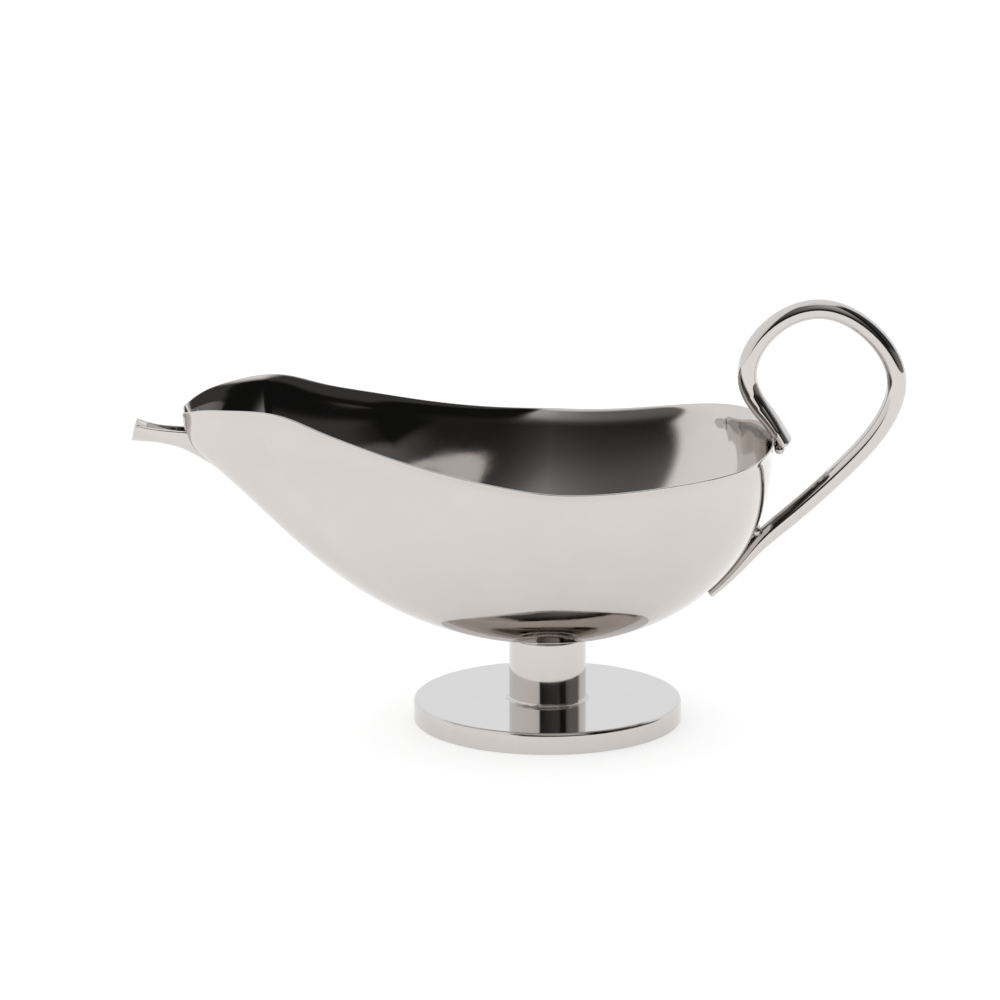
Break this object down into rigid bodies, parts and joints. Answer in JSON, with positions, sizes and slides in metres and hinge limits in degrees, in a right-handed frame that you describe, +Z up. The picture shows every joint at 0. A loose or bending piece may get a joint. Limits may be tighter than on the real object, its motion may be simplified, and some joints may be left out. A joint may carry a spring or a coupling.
{
  "type": "gravy boat",
  "caption": "Footed stainless steel gravy boat: long pressed bowl with a narrow pouring lip, a bent rod loop handle, and a short round stem on a flat disc foot.",
  "frame": {"origin": "centre of the foot, on the plane it stands on", "axes": "+Z up, +X toward the handle with the pouring lip toward -X, Y across the bowl"},
  "size_m": [0.2009, 0.088, 0.1121],
  "materials": {
    "polished_steel": "mirror-polished stainless steel",
    "joint_metal": "buffed weld and braze"
  },
  "bodies": {
    "root": {"bowl": "polished_steel", "handle": "polished_steel", "stem": "polished_steel", "foot": "polished_steel", "bowl_braze": "joint_metal", "foot_braze": "joint_metal", "upper_weld": "joint_metal", "lower_weld": "joint_metal"}
  },
  "joints": []
}
